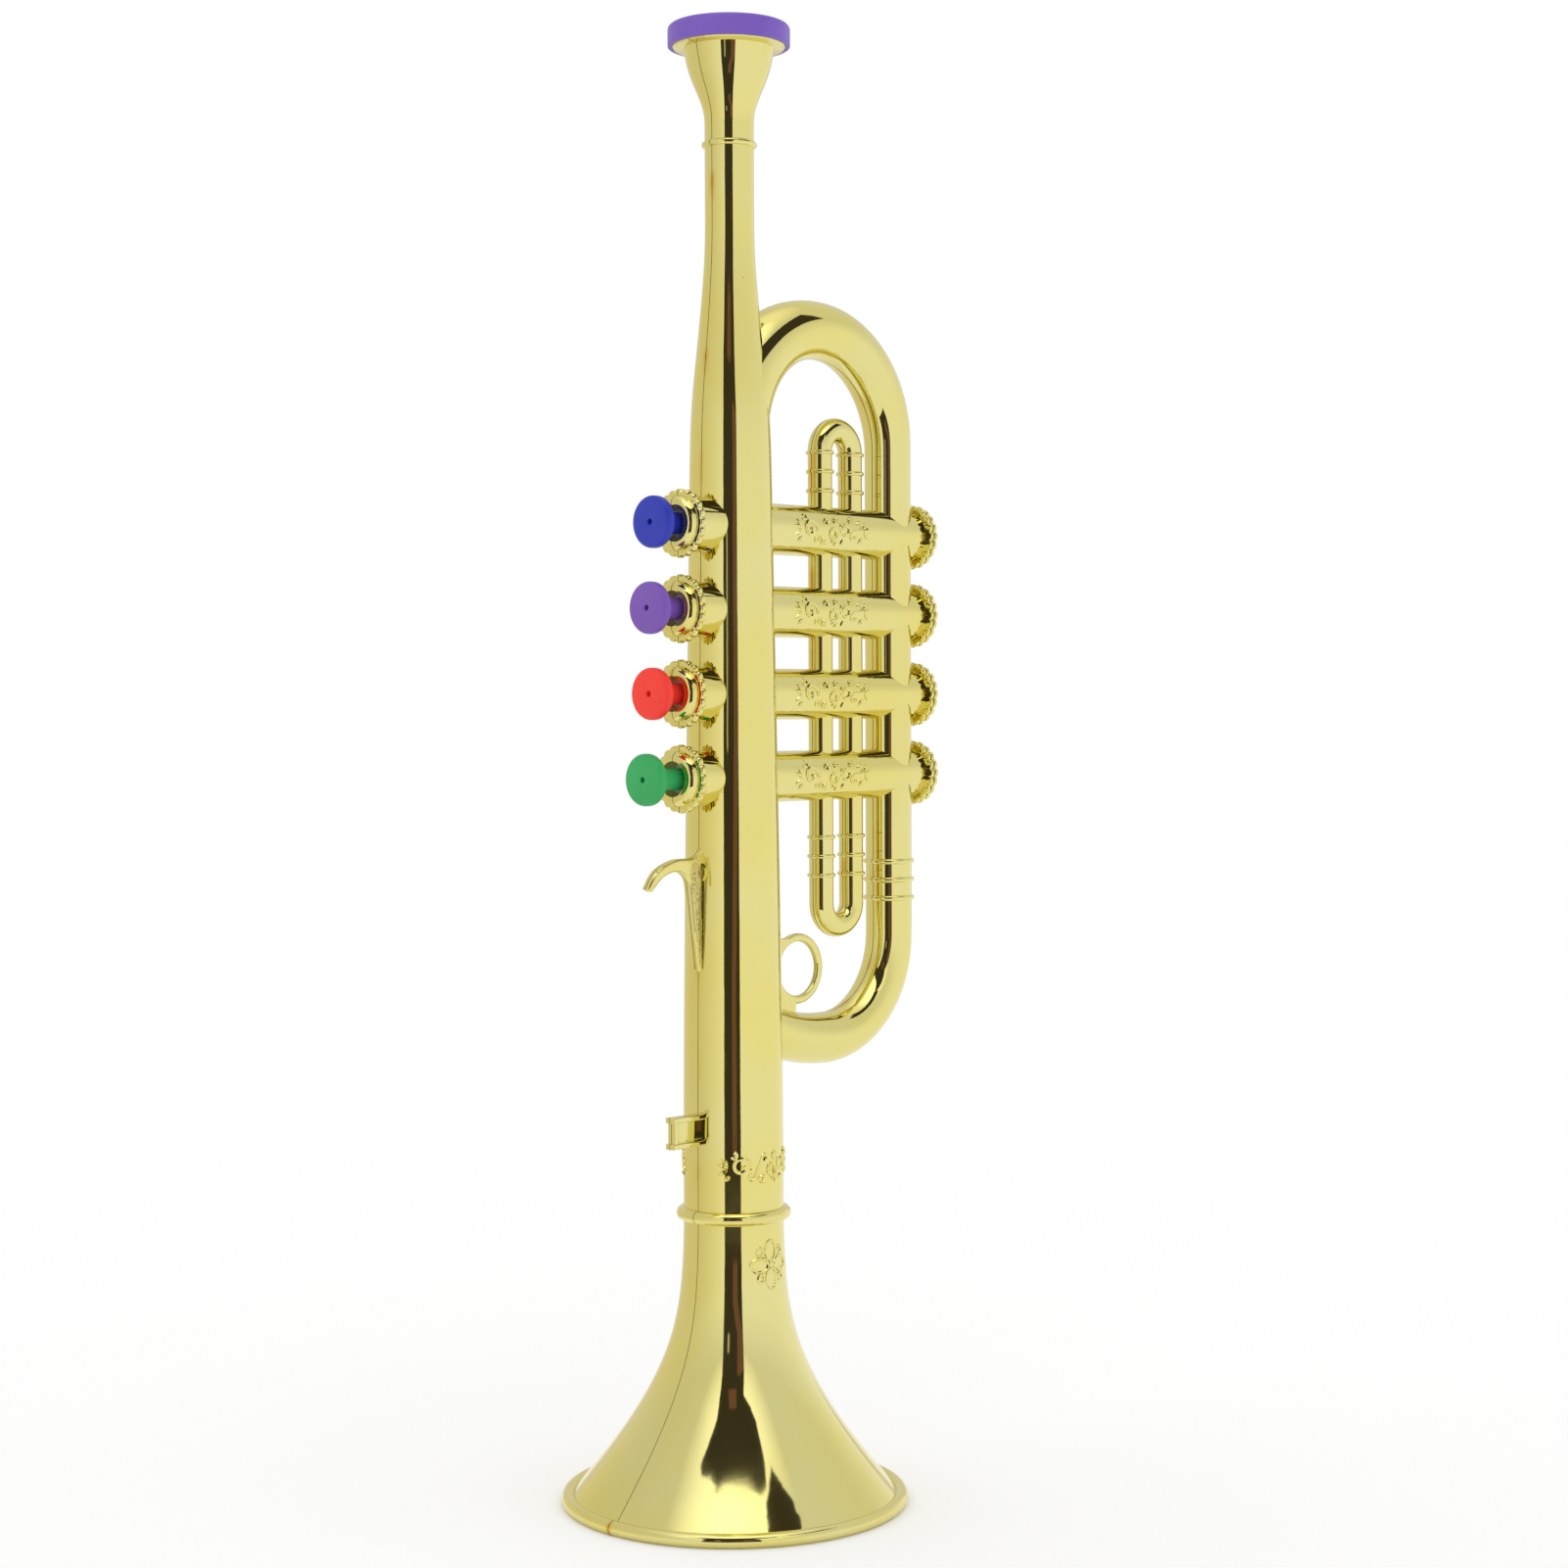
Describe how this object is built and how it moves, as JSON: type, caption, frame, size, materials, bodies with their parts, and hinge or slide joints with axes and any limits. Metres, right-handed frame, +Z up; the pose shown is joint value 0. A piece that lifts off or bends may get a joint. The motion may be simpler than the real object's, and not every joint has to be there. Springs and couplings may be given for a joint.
{
  "type": "toy trumpet",
  "caption": "Toy trumpet with a metallised gold body, a purple mouthpiece ring and coloured push buttons that each open a valve to their own reed.",
  "frame": {"origin": "centre of the bell's rim, in the plane that the trumpet stands on", "axes": "+Z up the main tube to the mouthpiece, +X towards the tubing loop, buttons on the -X side, seam of the two mouldings in the XZ plane"},
  "size_m": [0.1135, 0.0874, 0.37],
  "materials": {
    "gold_body": "vacuum-metallised, mirror gloss",
    "purple_ring": "gloss",
    "blue_cap": "gloss",
    "purple_cap": "gloss",
    "red_cap": "gloss",
    "green_cap": "gloss",
    "white_plastic": "satin",
    "seal_rubber": "matte",
    "spring_steel": "drawn wire",
    "brass": "rolled",
    "rivet_steel": "bright"
  },
  "bodies": {
    "horn": {"left_shell": "gold_body", "right_shell": "gold_body", "mouthpiece_ring": "purple_ring", "blue_guide_bush": "white_plastic", "blue_return_spring": "spring_steel", "blue_reed_block": "white_plastic", "blue_reed_plate": "brass", "blue_reed_tongue": "brass", "blue_reed_rivet": "rivet_steel", "purple_guide_bush": "white_plastic", "purple_return_spring": "spring_steel", "purple_reed_block": "white_plastic", "purple_reed_plate": "brass", "purple_reed_tongue": "brass", "purple_reed_rivet": "rivet_steel", "red_guide_bush": "white_plastic", "red_return_spring": "spring_steel", "red_reed_block": "white_plastic", "red_reed_plate": "brass", "red_reed_tongue": "brass", "red_reed_rivet": "rivet_steel", "green_guide_bush": "white_plastic", "green_return_spring": "spring_steel", "green_reed_block": "white_plastic", "green_reed_plate": "brass", "green_reed_tongue": "brass", "green_reed_rivet": "rivet_steel"},
    "blue_valve": {"blue_button": "blue_cap", "blue_valve_rod": "white_plastic", "blue_seal_pad": "seal_rubber"},
    "purple_valve": {"purple_button": "purple_cap", "purple_valve_rod": "white_plastic", "purple_seal_pad": "seal_rubber"},
    "red_valve": {"red_button": "red_cap", "red_valve_rod": "white_plastic", "red_seal_pad": "seal_rubber"},
    "green_valve": {"green_button": "green_cap", "green_valve_rod": "white_plastic", "green_seal_pad": "seal_rubber"}
  },
  "joints": [
    {"name": "blue_press", "type": "slide", "parent": "horn", "child": "blue_valve", "axis": [1, 0, 0], "range_m": [0, 0.0045], "stiffness_N_per_m": 120, "springref_m": -0.004, "deforming": ["blue_return_spring"]},
    {"name": "purple_press", "type": "slide", "parent": "horn", "child": "purple_valve", "axis": [1, 0, 0], "range_m": [0, 0.0045], "stiffness_N_per_m": 120, "springref_m": -0.004, "deforming": ["purple_return_spring"]},
    {"name": "red_press", "type": "slide", "parent": "horn", "child": "red_valve", "axis": [1, 0, 0], "range_m": [0, 0.0045], "stiffness_N_per_m": 120, "springref_m": -0.004, "deforming": ["red_return_spring"]},
    {"name": "green_press", "type": "slide", "parent": "horn", "child": "green_valve", "axis": [1, 0, 0], "range_m": [0, 0.0045], "stiffness_N_per_m": 120, "springref_m": -0.004, "deforming": ["green_return_spring"]}
  ]
}
